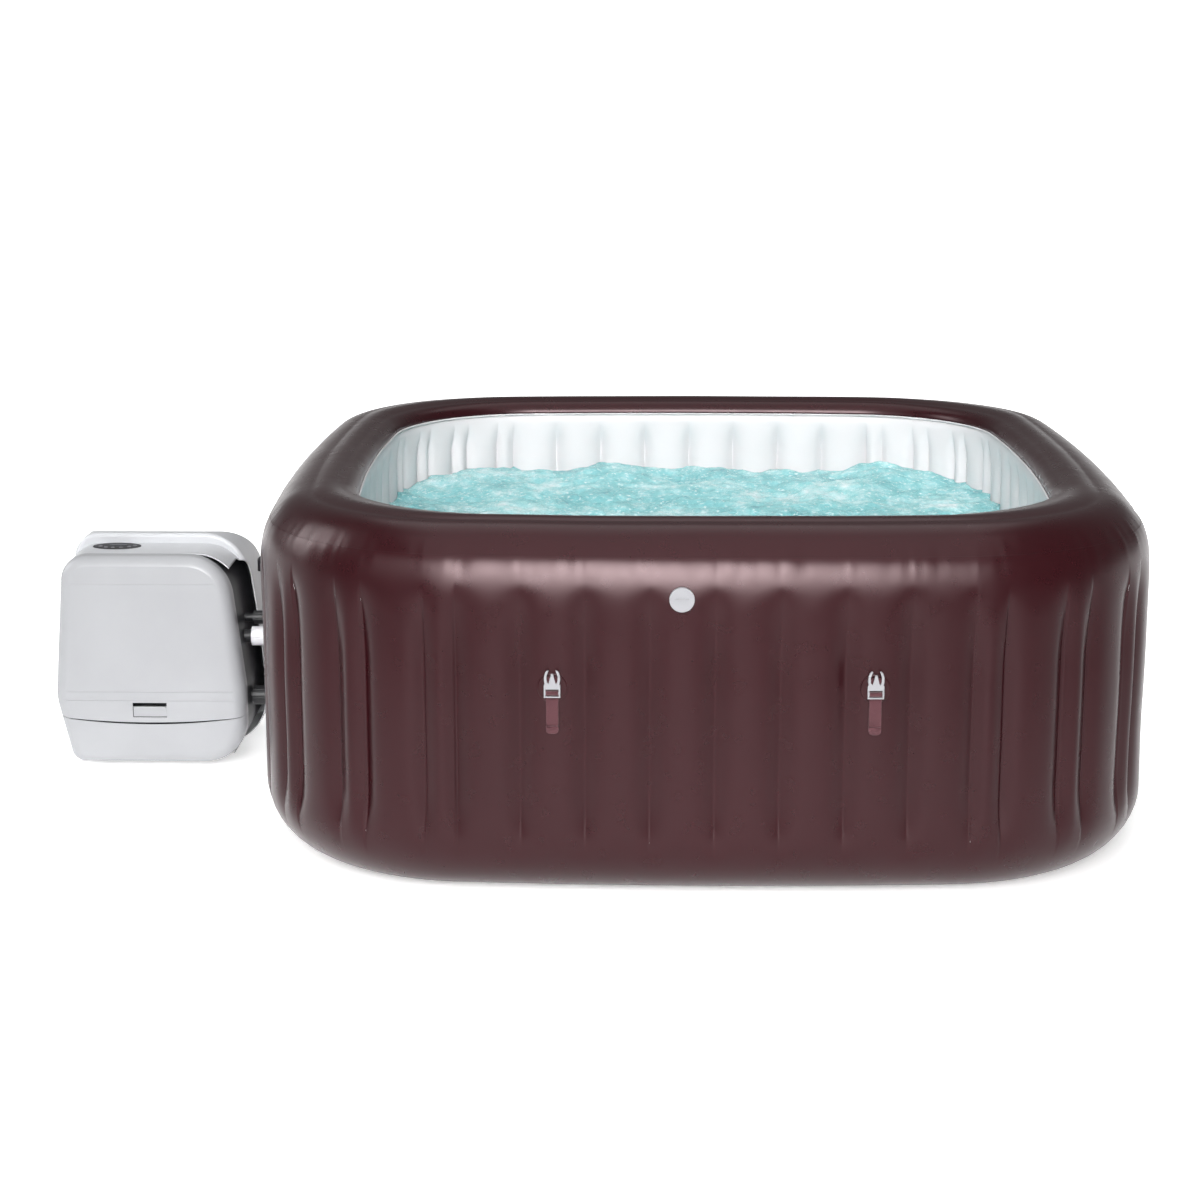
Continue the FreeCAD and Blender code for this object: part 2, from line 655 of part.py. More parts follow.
def front_shells():
    """Front cover above the smile-shaped seam, fixed lower shell below it, and the latch.

    The lip below the seam is curved more tightly than the cover above it, so that the gap is
    widest in the middle and closes up towards the sides.
    """
    wall, roll, front = size("shell_wall"), size("front_roll"), size("pump_front")
    solid = pump_prism("front_solid", pump_outline(Size(0)), front, size("front_depth"))
    round_edges(solid, roll, front_edge)
    space = pump_prism("front_space", pump_outline(wall), front + wall, size("front_depth"))
    round_edges(space, roll - wall, front_edge)
    bands = [box("front_band", (size("pump_left") - 10, front - 1, low), (500, 1 + depth, high - low))
             for low, high, depth in FRONT_BANDS]
    shell = cut("front_shell", solid, space, *bands)
    middle = (size("pump_left") + size("pump_right")) / 2
    start, lip_z = size("pump_front") - 20, size("smile_z") - size("cover_gap")
    above = cylinder("smile_above", (middle, start, size("smile_z") + size("smile_radius")),
                     size("smile_radius"), 120, "y")
    lip_arc = cylinder("lip_arc", (middle, start, lip_z + size("lip_radius")), size("lip_radius"),
                       120, "y")
    window = box("latch_window", (middle - size("latch_width") / 2, size("pump_front") - 5,
                                  size("latch_z")), (size("latch_width"), 20, size("latch_height")))
    cut("front_cover", common("cover_zone", shell, above), window)
    cut("lower_front_shell", shell, lip_arc)
    inner, height = size("latch_width") - 2, size("latch_height") - size("latch_grip") - 1
    plate = box("latch_plate", (middle - inner / 2, front + wall + 1, size("latch_z") + 1),
                (inner, 3, height))
    lip = box("latch_lip", (middle - inner / 2 + 2, front + 1, size("latch_z") + height - 4),
              (inner - 4, 4, 5))
    fuse("cover_latch", plate, lip)


def hood_profile(name, inset):
    """Block with the unit's side view: the top rolls down to the back in one large radius."""
    body = fresh("PartDesign::Body", name)
    sketch = new_sketch(body, "YZ_Plane")
    back, top = size("arch_back") - inset, size("pump_top") + size("arch_rise") - inset
    draw_polygon(sketch, [(-20, -20), (back, -20), (back, top), (-20, top)])
    pad(body, sketch, Size(700))

    def back_top(edge):
        return edge.BoundBox.ZMin > top.value - 0.01 and edge.BoundBox.YMin > back.value - 0.01
    round_edges(body, size("hood_radius") - inset, back_top)
    return place(body, (size("pump_left") - 50, 0, 0))


def gland_opening(name, start, length):
    return cylinder(name, (size("gland_x"), start, size("gland_z")), size("gland_radius") + 0.2,
                    length, "y")


def pump_housing():
    """Dark housing behind the front shells, with the side the lines come out of."""
    inset, wall, spread = size("housing_inset"), size("shell_wall"), size("housing_spread")
    depth = size("arch_back") - 10
    outside = pump_prism("housing_outside", pump_outline(inset, spread=spread), Size(0), depth)
    inside = pump_prism("housing_inside", pump_outline(inset + wall, spread=spread), wall,
                        depth - wall * 2)
    outside = common("housing_hood", outside, hood_profile("housing_side", inset + 1))
    inside = common("housing_room", inside, hood_profile("housing_room_side", inset + wall + 1))
    holes = cylinder_set("housing_hole", 0.5, -size("tub_half") - 150, 60)
    panel_well = box("panel_well", (size("panel_x") - 50, size("panel_y") - 30, 500), (100, 60, 60))
    cut("pump_housing", outside, inside, *holes, gland_opening("gland_hole", depth - 10, 20),
        panel_well)
    feet = [cylinder("foot", (size("pump_left") + across, deep, 0), size("foot_radius"),
                     size("pump_low") + size("housing_inset"))
            for across in (97, 337) for deep in (40, 290)]
    group("pump_feet", *feet)


def back_shell():
    """Light arch over the housing: a low neck, a step up, and the tub's side cut away."""
    wall, rise, spread = size("shell_wall"), size("arch_rise"), size("arch_overhang")
    start = size("arch_front")
    depth = size("arch_back") - start
    outside = pump_prism("arch_outside", pump_outline(Size(0), rise, spread), start, depth)
    round_edges(outside, Size(10), front_edge)
    inside = pump_prism("arch_inside", pump_outline(wall, rise, spread), start + wall,
                        depth - wall * 2)
    round_edges(inside, Size(7), front_edge)
    outside = common("arch_hood", outside, hood_profile("arch_side", Size(0)))
    inside = common("arch_room", inside, hood_profile("arch_room_side", wall))
    neck = pump_prism("neck_outside", pump_outline(Size(0), spread=spread), Size(0), start + 12)
    opening = pump_prism("neck_inside", pump_outline(wall, spread=spread), Size(-1),
                         start + wall + 14)
    window = fresh("PartDesign::Body", "arch_window")
    sketch = new_sketch(window, "YZ_Plane")
    draw_polygon(sketch, [(-20, -20), (150, -20), (178, 330), (165, 440), (148, 478),
                          (125, 492), (90, 511), (40, 525), (-20, 531)])
    pad(window, sketch, Size(140))
    place(window, (-1150, 0, 0))
    base_cut = box("arch_base_cut", (-1700, -10, -5), (700, 400, 30))
    panel_well = oval("arch_panel_well", Size(-0.5), size("pump_top") - 12, 60)
    gland_hole = gland_opening("arch_gland_hole", size("arch_back") - 20, 40)
    screw_holes = [cylinder("screw_hole", (x, size("arch_back") - 20, z), size("screw_radius") + 0.2,
                            40, "y") for x, z in screw_places()]
    cut("back_shell", fuse("arch_solid", outside, neck), inside, opening, window, base_cut,
        panel_well, gland_hole, *screw_holes)


def oval(name, inset, low, height):
    made = bind(fresh("Part::Ellipse", name + "_edge"), MajorRadius=size("panel_long") - inset,
                MinorRadius=size("panel_short") - inset)
    place(made, (size("panel_x"), size("panel_y"), low))
    solid = fresh("Part::Extrusion", name)
    solid.Base = made
    solid.DirMode = "Custom"
    solid.Dir = Vector(0, 0, 1)
    solid.Solid = True
    bind(solid, LengthFwd=height)
    return solid


BUTTON_PLACES = [(-40, -6), (-24, -17), (-6, -21), (14, -20), (32, -12), (44, 2)]


def control_panel():
    """Oval control head in the arch's top: bezel, display lens and push buttons."""
    top = size("pump_top")
    plate = oval("panel_plate", Size(0.5), top - 8, 9)
    holes = []
    for index, (across, deep) in enumerate(BUTTON_PLACES, 1):
        at = (size("panel_x") + across, size("panel_y") + deep, top - 5)
        holes.append(cylinder("button_hole", at, size("button_radius") + 0.4, 12))
        stem_at = (size("panel_x") + across, size("panel_y") + deep, top - 3.5)
        stem = cylinder("button_stem", stem_at, size("button_radius"), 5)
        crown = ball("button_crown", (stem_at[0], stem_at[1], top - 10), Size(13))
        keep = cylinder("button_keep", (stem_at[0], stem_at[1], top + 1), size("button_radius"), 3)
        fuse(f"button_{index}", stem, common("button_dome", crown, keep))
    lens_hole = box("lens_hole", (size("panel_x") - 20, size("panel_y") + 2, top - 2), (44, 20, 5))
    cut("control_panel", plate, lens_hole, *holes)
    box("display_lens", (size("panel_x") - 19.5, size("panel_y") + 2.5, top - 2), (43, 19, 3.4))


def wheel(name, at, radius, hub, depth, blades):
    """Impeller or fan: a hub with radial blades, turning about its Y axis."""
    x, y, z = at
    parts = [cylinder(name + "_hub", at, hub, depth, "y")]
    for index in range(blades):
        turn = index * 360 / blades
        blade = box(name + "_blade", (0, 0, 0), (radius, depth - 4, 2))
        parts.append(place(blade, (x, y + 2, z), Rotation(Vector(0, 1, 0), turn)))
    fuse(name, *parts)


def machine(name, at, motor_radius, motor_length, case_radius, case_depth):
    """Motor with a round pump case at its front; the case is hollow for its wheel."""
    x, y, z = at
    motor = cylinder(name + "_motor", (x, y + case_depth, z), motor_radius, motor_length, "y")
    case = cylinder(name + "_case", at, case_radius, case_depth, "y")
    hollow = cylinder(name + "_hollow", (x, y + 3, z), case_radius - 4, case_depth - 6, "y")
    cut(name, fuse(name + "_solid", motor, case), hollow)


def spot(name):
    """Centre of a machine inside the unit."""
    return tuple(size(f"{name}_{letter}") for letter in "xyz")


def cable_gland():
    x, z, radius = size("gland_x"), size("gland_z"), size("gland_radius")
    back = size("arch_back")
    neck = cylinder("gland_neck", (x, back - 32, z), radius, 34, "y")
    head = cylinder("gland_head", (x, back + 2, z), radius + 4, 16, "y")
    lead_way = cylinder("gland_bore", (x, back - 40, z), size("lead_radius"), 70, "y")
    cut("cable_gland", fuse("gland_solid", neck, head), lead_way)


def screw_places():
    return [(size("pump_left") + across, Size(z)) for across in (32, 437) for z in (150, 300)]


def shell_screws():
    screws = []
    radius, back = size("screw_radius"), size("arch_back")
    for x, z in screw_places():
        head = cylinder("screw_head", (x, back + 0.2, z), radius + 2.5, 3, "y")
        shank = cylinder("screw_shank", (x, back - 8, z), radius, 9, "y")
        screws.append(fuse("screw", head, shank))
    group("shell_screws", *screws)


def internals():
    """What the pump unit holds inside to filter, heat and push the water and air."""
    for name, case, wheel_name, motor, motor_length, radius, depth, blades in (
            ("circulation_pump", "filter_pump", "circulation_impeller", 34, 110, 46, 34, 6),
            ("jet_pump", "jet_pump", "jet_impeller", 52, 150, 68, 46, 7),
            ("air_blower", "blower", "blower_fan", 40, 60, 70, 60, 12)):
        x, y, z = spot(case)
        machine(name, (x, y, z), motor, motor_length, radius, depth)
        wheel(wheel_name, (x, y + 6.5, z), radius - 10, motor / 3, depth - 13, blades)
    tube("heater_tube", spot("heater"), size("heater_radius"), size("heater_radius") - 3,
         size("heater_length"), "y")
    x, z = size("board_x"), size("board_z")
    board = box("board", (x, 20, z), (130, 1.6, 120))
    relays = [box("relay", (x + 10 + 32 * index, 21.6, z + 20), (24, 12, 30)) for index in range(4)]
    fuse("circuit_board", board, *relays)


# ---------------------------------------------------------------- whole object

NODES = (
    ["outer_wall", "top_ring", "inner_wall", "base_ring", "floor_sheet", "wall_webs",
     "air_valve_body", "air_valve_cap", "strap_patches", "cover_straps",
     "drain_valve_body", "drain_cap", "wall_fittings", "fitting_nuts", "union_gaskets",
     "upper_union_nut", "lower_union_nut", "air_union_nut", "wall_elbow", "filter_housing",
     "filter_cartridge", "return_grille", "jet_housings", "lower_front_shell", "front_cover",
     "cover_latch", "pump_housing", "pump_feet", "back_shell", "control_panel", "display_lens",
     "circulation_pump", "circulation_impeller", "jet_pump", "jet_impeller", "air_blower",
     "blower_fan", "heater_tube", "circuit_board", "pump_pipes", "cable_gland", "shell_screws"]
    + [f"cover_buckle_{side}_{hand}" for side in SIDES for hand in "ab"]
    + [f"jet_nozzle_{side}" for side in SIDES]
    + [f"button_{index}" for index in range(1, len(BUTTON_PLACES) + 1)]
)


def build():
    ring_skins()
    floor_sheet()
    wall_webs()
    air_valve()
    cover_clips()
    drain_valve()
    jets()
    water_lines()
    wall_elbow()
    filter_pieces()
    front_shells()
    back_shell()
    control_panel()
    pump_housing()
    internals()
    cable_gland()
    shell_screws()
    doc.recompute()


def check():
    for obj in doc.Objects:
        if "Invalid" in obj.State or "Error" in obj.State:
            raise RuntimeError(f"{obj.Name} did not build: {obj.State}")
    for node in NODES:
        shape = doc.getObject(node).Shape
        if shape.isNull() or not shape.isValid() or not shape.Solids:
            raise RuntimeError(f"{node} has no valid solid")


def write():
    os.makedirs("parts", exist_ok=True)
    for node in NODES:
        part = doc.getObject(node)
        part.Label = node
        part.Shape.exportStep(f"parts/{node}.step")
        limits = part.Shape.BoundBox
        print(f"{node:24s} solids {len(part.Shape.Solids):3d} volume {part.Shape.Volume / 1000:9.1f} cc "
              f"x {limits.XMin:8.1f} {limits.XMax:8.1f} y {limits.YMin:8.1f} {limits.YMax:8.1f} "
              f"z {limits.ZMin:7.1f} {limits.ZMax:7.1f}")


build()
check()
write()
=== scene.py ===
import json
import math

import bpy
import numpy as np
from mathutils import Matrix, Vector, noise


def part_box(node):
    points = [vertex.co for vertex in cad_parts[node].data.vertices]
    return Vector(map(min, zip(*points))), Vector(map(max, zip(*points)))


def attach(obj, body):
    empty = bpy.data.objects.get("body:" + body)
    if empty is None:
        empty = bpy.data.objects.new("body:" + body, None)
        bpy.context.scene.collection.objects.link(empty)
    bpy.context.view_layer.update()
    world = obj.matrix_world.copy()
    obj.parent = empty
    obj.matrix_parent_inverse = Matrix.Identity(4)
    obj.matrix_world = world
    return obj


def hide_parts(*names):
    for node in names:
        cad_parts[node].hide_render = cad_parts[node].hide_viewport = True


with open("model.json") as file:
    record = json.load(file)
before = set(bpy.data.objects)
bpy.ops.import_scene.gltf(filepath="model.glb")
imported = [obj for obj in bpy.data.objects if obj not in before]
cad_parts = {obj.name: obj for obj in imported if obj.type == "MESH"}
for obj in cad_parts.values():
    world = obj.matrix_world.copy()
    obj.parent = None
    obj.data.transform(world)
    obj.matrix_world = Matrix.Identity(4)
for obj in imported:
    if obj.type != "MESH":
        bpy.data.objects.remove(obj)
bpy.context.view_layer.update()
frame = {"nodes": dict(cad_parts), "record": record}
record = frame["record"]

# Driving dimensions of the inflated ring, in metres. Extents come from the frame.
TUB_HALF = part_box("outer_wall")[1].x
TUB_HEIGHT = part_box("top_ring")[1].z
SIDE_RADIUS = 7.5
CORNER_RADIUS = 0.485
WELL_HALF = 0.79
WELL_SIDE_RADIUS = 6.0
WELL_CORNER_RADIUS = 0.36
WELL_ROLL = 0.038
TOP_ROLL = 0.12
BASE_ROLL = 0.15
OUTER_SEAM_Z = 0.74
INNER_SEAM_Z = 0.762
WATER_Z = 0.590
WEB_LOW, WEB_HIGH = 0.135, 0.640
SKIN = 0.0018
WEB_SKIN = 0.0006
WEBBING = 0.0015

# How far the skins lie inside their envelopes before their waves.
WALL_INSET = 0.002
WELL_INSET = 0.001

WATER_BASE_Z = 0.02
BEAD_RADIUS = 0.0022

# Widths of a side's panels and of the narrow and wide gaps in turn round a corner.
PANELS_OUTSIDE = (0.134, 0.065, 0.144)
PANELS_INSIDE = (0.121, 0.04, 0.089)

# Relief of a panel: rise as a share of its width, then depth and reach of the weld's groove.
OUTER_RISE, OUTER_GROOVE, OUTER_GROOVE_REACH = 0.068, 0.010, 0.022
INNER_RISE, INNER_GROOVE, INNER_GROOVE_REACH = 0.14, 0.007, 0.011


# ------------------------------------------------------------------ small helpers

def smooth(value, low, high):
    """0 below low, 1 above high, a soft S between."""
    x = np.clip((np.asarray(value, float) - low) / (high - low), 0, 1)
    return x * x * (3 - 2 * x)


def bezier(start, middle, end, count):
    """Points of a quadratic curve, its end left out."""
    result = []
    for step in range(count):
        t = step / count
        result.append(tuple(start[i] * (1 - t) ** 2 + 2 * middle[i] * t * (1 - t) + end[i] * t * t
                            for i in range(2)))
    return result


def ripple(points, scale, depth, seed=0.0):
    """Seeded smooth noise at each point."""
    shift = Vector((seed, seed * 0.7, seed * 1.3))
    return np.array([noise.noise(Vector(p) * scale + shift) for p in points]) * depth


def linked_mesh(name, vertices, faces):
    """Smooth-shaded mesh in a new object of the scene."""
    mesh = bpy.data.meshes.new(name)
    mesh.from_pydata([tuple(v) for v in vertices], [], faces)
    mesh.update()
    mesh.shade_smooth()
    piece = bpy.data.objects.new(name, mesh)
    bpy.context.scene.collection.objects.link(piece)
    return piece


def tub_piece(name, vertices, faces, slot):
    """Piece of the tub's fixed body in the material of a slot."""
    piece = linked_mesh(name, vertices, faces)
    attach(piece, "root")
    piece.data.materials.append(MATERIALS[slot])
    return piece


def ring_faces(rows, columns):
    """Quads of a grid whose columns close round."""
    faces = []
    for row in range(rows - 1):
        for column in range(columns):
            following = (column + 1) % columns
            faces.append((row * columns + column, row * columns + following,
                          (row + 1) * columns + following, (row + 1) * columns + column))
    return faces


def grid_faces(rows, columns):
    """Quads of an open grid."""
    faces = []
    for row in range(rows - 1):
        for column in range(columns - 1):
            start = row * columns + column
            faces.append((start, start + 1, start + columns + 1, start + columns))
    return faces


def fan_faces(first, count, centre):
    """Triangles from a closed row of points to a centre point."""
    return [(first + index, first + (index + 1) % count, centre) for index in range(count)]


def thicken(piece, thickness, offset=-1.0):
    """Give a sheet its thickness, inward unless the offset says otherwise."""
    modifier = piece.modifiers.new("thickness", "SOLIDIFY")
    modifier.thickness = thickness
    modifier.offset = offset
    modifier.use_even_offset = False


# ------------------------------------------------------------------ the ring's outlines

def side_values(half, side_radius, corner_radius):
    """Centres, half angle and lengths of the arcs that make one side and one corner."""
    reach = side_radius - half
    gap = side_radius - corner_radius
    centre = (-reach + math.sqrt(2 * gap**2 - reach**2)) / 2
    spread = math.atan2(centre, centre + reach)
    side_length = 2 * spread * side_radius
    quarter = side_length + (math.pi / 2 - 2 * spread) * corner_radius
    return reach, centre, spread, side_length, quarter


def outline(half, side_radius, corner_radius, run):
    """Points and outward normals along a bowed square, from the middle of the +X side."""
    reach, centre, spread, side_length, quarter = side_values(half, side_radius, corner_radius)
    side, along = np.divmod(run + side_length / 2, quarter)
    turn = side * math.pi / 2
    on_side = along < side_length
    angle = np.where(on_side, turn - spread + along / side_radius,
                     turn + spread + (along - side_length) / corner_radius)
    diagonal = centre * math.sqrt(2)
    middle_x = np.where(on_side, -reach * np.cos(turn), diagonal * np.cos(turn + math.pi / 4))
    middle_y = np.where(on_side, -reach * np.sin(turn), diagonal * np.sin(turn + math.pi / 4))
    radius = np.where(on_side, side_radius, corner_radius)
    normal = np.stack([np.cos(angle), np.sin(angle)], axis=1)
    return np.stack([middle_x, middle_y], axis=1) + normal * radius[:, None], normal


OUTER = (TUB_HALF, SIDE_RADIUS, CORNER_RADIUS)
INNER = (WELL_HALF, WELL_SIDE_RADIUS, WELL_CORNER_RADIUS)
OUTER_SHIFT = 0.014
INNER_SHIFT = 0.006


def creases(panels, quarter, shift):
    """Where the webs meet a wall: eight wide panels on each side, seven gaps round each corner."""
    wide, narrow_gap, wide_gap = panels
    steps = [wide] * 8 + [narrow_gap, wide_gap] * 3 + [narrow_gap]
    fit = (quarter - 8 * wide) / (sum(steps) - 8 * wide)
    runs = []
    for side in range(4):
        run = side * quarter - 4 * wide + shift
        for step in steps:
            runs.append(run)
            run += step if step == wide else step * fit
    return np.array(runs + [runs[0] + 4 * quarter])


OUTER_QUARTER = side_values(*OUTER)[4]
INNER_QUARTER = side_values(*INNER)[4]
OUTER_CREASES = creases(PANELS_OUTSIDE, OUTER_QUARTER, OUTER_SHIFT)
INNER_CREASES = creases(PANELS_INSIDE, INNER_QUARTER, INNER_SHIFT)


def panel_at(crease_runs, run):
    """Place from 0 to 1 inside the panel that holds a run along the outline, and its width."""
    start, end = crease_runs[0], crease_runs[-1]
    wrapped = np.mod(run - start, end - start) + start
    panel = np.searchsorted(crease_runs, wrapped, side="right") - 1
    panel = np.clip(panel, 0, len(crease_runs) - 2)
    width = crease_runs[panel + 1] - crease_runs[panel]
    return (wrapped - crease_runs[panel]) / width, width


def ring_columns(per_panel=16):
    """Matching runs on the outer and the inner outline, with the place inside each panel."""
    outer, inner, place, outer_width, inner_width = [], [], [], [], []
    for index in range(len(OUTER_CREASES) - 1):
        wide = OUTER_CREASES[index + 1] - OUTER_CREASES[index]
        narrow = INNER_CREASES[index + 1] - INNER_CREASES[index]
        count = per_panel if wide > 0.1 else per_panel * 2 // 3
        for step in range(count):
            s = 0.5 - 0.5 * math.cos(math.pi * step / count)
            s = 0.8 * s + 0.2 * step / count
            outer.append(OUTER_CREASES[index] + wide * s)
            inner.append(INNER_CREASES[index] + narrow * s)
            place.append(s)
            outer_width.append(wide)
            inner_width.append(narrow)
    return tuple(np.array(values) for values in (outer, inner, place, outer_width, inner_width))


OUTER_RUN, INNER_RUN, PANEL_PLACE, OUTER_WIDTH, INNER_WIDTH = ring_columns()
OUTER_POINT, OUTER_NORMAL = outline(*OUTER, OUTER_RUN)
INNER_POINT, INNER_NORMAL = outline(*INNER, INNER_RUN)


def pinch(place):
    """1 at a web, 0 in the middle of a panel: the arc of an inflated panel."""
    return np.abs(2 * place - 1) ** 2.1


def weld_groove(place, width, reach):
    """1 on the weld line of a web, gone at a distance of two reaches."""
    return np.exp(-(np.minimum(place, 1 - place) * width / reach) ** 2)


def outer_inset(place, width, z):
    """How far the outer wall is drawn in from its envelope."""
    held = smooth(z, 0.085, 0.19) * (1 - smooth(z, 0.60, 0.69))
    groove = weld_groove(place, width, OUTER_GROOVE_REACH)
    groove = groove * smooth(z, 0.09, 0.24) * (1 - smooth(z, 0.50, 0.68))
    return OUTER_RISE * width * pinch(place) * held + OUTER_GROOVE * groove


def inner_inset(place, width, z):
    """How far the well wall is drawn back from its envelope."""
    held = smooth(z, 0.05, 0.14) * (1 - smooth(z, 0.665, 0.745))
    groove = weld_groove(place, width, INNER_GROOVE_REACH)
    return (INNER_RISE * width * pinch(place) + INNER_GROOVE * groove) * held


# ------------------------------------------------------------------ materials

class Shader:
    """A node tree being built, with short calls for the nodes used here."""

    def __init__(self, name, roughness, metallic=0.0, specular=0.5, sheen=0.0):
        self.material = bpy.data.materials.new(name)
        self.material.use_nodes = True
        self.tree = self.material.node_tree
        self.surface = self.tree.nodes["Principled BSDF"]
        self.surface.inputs["Roughness"].default_value = roughness
        self.surface.inputs["Metallic"].default_value = metallic
        self.surface.inputs["Specular IOR Level"].default_value = specular
        self.surface.inputs["Sheen Weight"].default_value = sheen
        self.place = self.node("ShaderNodeTexCoord").outputs["Object"]
        self.relief = None

    def node(self, kind, **inputs):
        """New node with its inputs set; a low line in a name stands for a space."""
        made = self.tree.nodes.new(kind)
        for name, value in inputs.items():
            self.put(made.inputs[name.replace("_", " ")], value)
        return made

    def put(self, socket, value):
        """Link an output to a socket, or set its value."""
        if isinstance(value, bpy.types.NodeSocket):
            self.tree.links.new(value, socket)
        else:
            socket.default_value = value

    def stretched(self, x, y, z):
        """Texture place scaled along each axis."""
        made = self.node("ShaderNodeMapping", Vector=self.place)
        made.inputs["Scale"].default_value = (x, y, z)
        return made.outputs["Vector"]

    def noise(self, scale, detail=3.0, roughness=0.5, vector=None):
        """Soft noise from 0 to 1, over the object unless a vector is given."""
        made = self.node("ShaderNodeTexNoise", Vector=vector or self.place, Scale=scale,
                         Detail=detail, Roughness=roughness)
        return made.outputs["Fac"]

    def cells(self, scale):
        """Distance to the nearest point of a scattered grid."""
        made = self.node("ShaderNodeTexVoronoi", Vector=self.place, Scale=scale)
        return made.outputs["Distance"]

    def wave(self, scale, direction):
        """Even bands across an axis."""
        made = self.node("ShaderNodeTexWave", Vector=self.place, Scale=scale)
        made.bands_direction = direction
        return made.outputs["Fac"]

    def combined(self, operation, first, second):
        """Two values added or multiplied."""
        made = self.node("ShaderNodeMath", Value=first)
        made.operation = operation
        self.put(made.inputs[1], second)
        return made.outputs[0]

    def span(self, value, low, high, from_low=0.0, from_high=1.0):
        """Value mapped to the range from low to high, and held inside it."""
        made = self.node("ShaderNodeMapRange", Value=value, From_Min=from_low, From_Max=from_high,
                         To_Min=low, To_Max=high)
        return made.outputs["Result"]

    def ramp(self, value, *stops):
        """Colour ramp of (position, colour) stops."""
        made = self.node("ShaderNodeValToRGB", Fac=value)
        elements = made.color_ramp.elements
        while len(elements) < len(stops):
            elements.new(0.5)
        for element, (position, colour) in zip(elements, stops):
            element.position = position
            element.color = (*colour, 1.0)
        return made.outputs["Color"]

    def bump(self, height, strength, distance):
        """Add a relief on top of the ones already there."""
        made = self.node("ShaderNodeBump", Height=height, Strength=strength, Distance=distance)
        if self.relief is not None:
            self.put(made.inputs["Normal"], self.relief)
        self.relief = made.outputs["Normal"]
        self.put(self.surface.inputs["Normal"], self.relief)

    def colour(self, value):
        """Set or link the base colour."""
        self.put(self.surface.inputs["Base Color"], value)

    def rough(self, value):
        """Set or link the roughness."""
        self.put(self.surface.inputs["Roughness"], value)


def shade(colour, amount):
    """Colour made darker below 1 and lighter above it."""
    return tuple(channel * amount for channel in colour)


def pvc(name, colour, roughness, tint=(1.0, 1.0, 1.0), grain=0.10, variation=0.06):
    """Welded PVC sheet: fine calendered grain, soft unevenness and slight shade changes."""
    shader = Shader(name, roughness, specular=0.41)
    shader.surface.inputs["Specular Tint"].default_value = (*tint, 1.0)
    shader.colour(shader.ramp(shader.noise(3.2, 4.0), (0.3, shade(colour, 1 - variation)),
                              (0.7, shade(colour, 1 + variation))))
    shader.rough(shader.span(shader.noise(26.0, 3.0), roughness - 0.05, roughness + 0.07))
    shader.bump(shader.noise(7.0, 2.0), 0.2, 0.002)
    shader.bump(shader.noise(520.0, 2.0), grain, 0.0003)
    return shader.material


def plastic(name, colour, roughness, grain_scale=700.0, grain=0.15, variation=0.04, specular=0.5):
    """Moulded plastic: fine spark texture and faint uneven gloss."""
    shader = Shader(name, roughness, specular=specular)
    shader.colour(shader.ramp(shader.noise(6.0, 3.0), (0.3, shade(colour, 1 - variation)),
                              (0.7, shade(colour, 1 + variation / 2))))
    shader.rough(shader.span(shader.noise(40.0, 3.0), roughness - 0.04, roughness + 0.05))
    shader.bump(shader.noise(grain_scale, 2.0), grain, 0.0004)
    return shader.material


def woven(name, colour, thread=620.0):
    """Webbing or filter cloth: crossed threads with a soft sheen."""
    shader = Shader(name, 0.75, sheen=0.25)
    threads = shader.combined("MULTIPLY", shader.wave(thread, "Z"), shader.wave(thread, "X"))
    shader.colour(shader.ramp(threads, (0.0, shade(colour, 0.65)), (0.8, shade(colour, 1.2))))
    shader.bump(threads, 0.5, 0.0006)
    return shader.material


def metal(name, colour, roughness):
    """Bare metal brushed along one axis."""
    shader = Shader(name, roughness, metallic=1.0)
    brushed = shader.noise(300.0, 2.0, vector=shader.stretched(1, 0.05, 1))
    shader.colour(shader.ramp(brushed, (0.2, shade(colour, 0.85)), (0.8, colour)))
    shader.rough(shader.span(brushed, roughness - 0.06, roughness + 0.1))
    return shader.material


def circuit(name):
    """Green circuit board with bright solder dots."""
    shader = Shader(name, 0.4)
    tracks = shader.cells(160.0)
    shader.colour(shader.ramp(tracks, (0.0, (0.5, 0.4, 0.12)), (0.08, (0.02, 0.11, 0.04)),
                              (0.6, (0.015, 0.08, 0.03))))
    shader.bump(tracks, 0.3, 0.0005)
    return shader.material


def whirling_water(name):
    """Aerated water: aqua body, milky streaks and bright foam."""
    shader = Shader(name, 0.12, specular=0.5)
    swirl = shader.noise(5.5, 5.0, 0.62)
    streak = shader.noise(26.0, 6.0, 0.65, shader.stretched(1.0, 0.45, 1.0))
    foam = shader.noise(95.0, 4.0, 0.7)
    body = shader.ramp(shader.span(shader.combined("ADD", swirl, streak), 0.0, 1.0, 0.7, 1.35),
                       (0.0, (0.13, 0.41, 0.44)), (0.4, (0.24, 0.59, 0.61)),
                       (0.7, (0.44, 0.73, 0.74)), (1.0, (0.79, 0.88, 0.88)))
    mix = shader.node("ShaderNodeMix")
    mix.data_type = "RGBA"
    shader.put(mix.inputs["Factor"], shader.span(foam, 0.0, 1.0, 0.55, 0.70))
    below, above = mix.inputs[6:8]  # the node's two colour inputs; output 2 is its colour
    shader.put(below, body)
    above.default_value = (0.82, 0.95, 0.95, 1.0)
    shader.colour(mix.outputs[2])
    shader.rough(shader.span(streak, 0.08, 0.35))
    shader.bump(streak, 0.6, 0.012)
    shader.bump(foam, 0.8, 0.008)
    return shader.material


